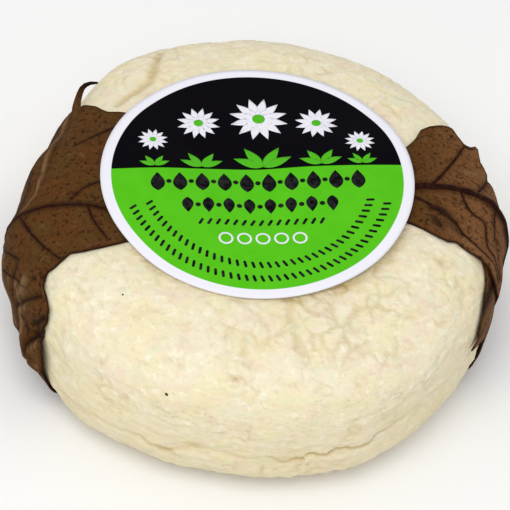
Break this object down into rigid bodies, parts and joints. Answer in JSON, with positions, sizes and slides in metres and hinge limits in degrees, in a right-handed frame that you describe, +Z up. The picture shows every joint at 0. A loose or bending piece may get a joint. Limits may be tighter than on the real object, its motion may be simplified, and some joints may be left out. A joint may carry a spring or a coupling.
{
  "type": "goat cheese with leaf",
  "caption": "Low round soft goat cheese with rounded shoulders, wrapped underneath and up both sides by a dried leaf, with a round paper label on top.",
  "frame": {"origin": "centre of the object's box, on the plane of the cheese's flat foot", "axes": "+Z up through the label, -Y towards the front that the picture shows, +X to the right seen from the front"},
  "size_m": [0.089, 0.089, 0.0348],
  "materials": {
    "rind": "soft, slightly moist ivory rind with fine wrinkles",
    "dried_leaf": "dry brown leaf with dark raised veins",
    "label_paper": "coated printed paper, green and black inside a white rim"
  },
  "bodies": {
    "root": {"cheese": "rind", "leaf": "dried_leaf", "label": "label_paper"}
  },
  "joints": []
}
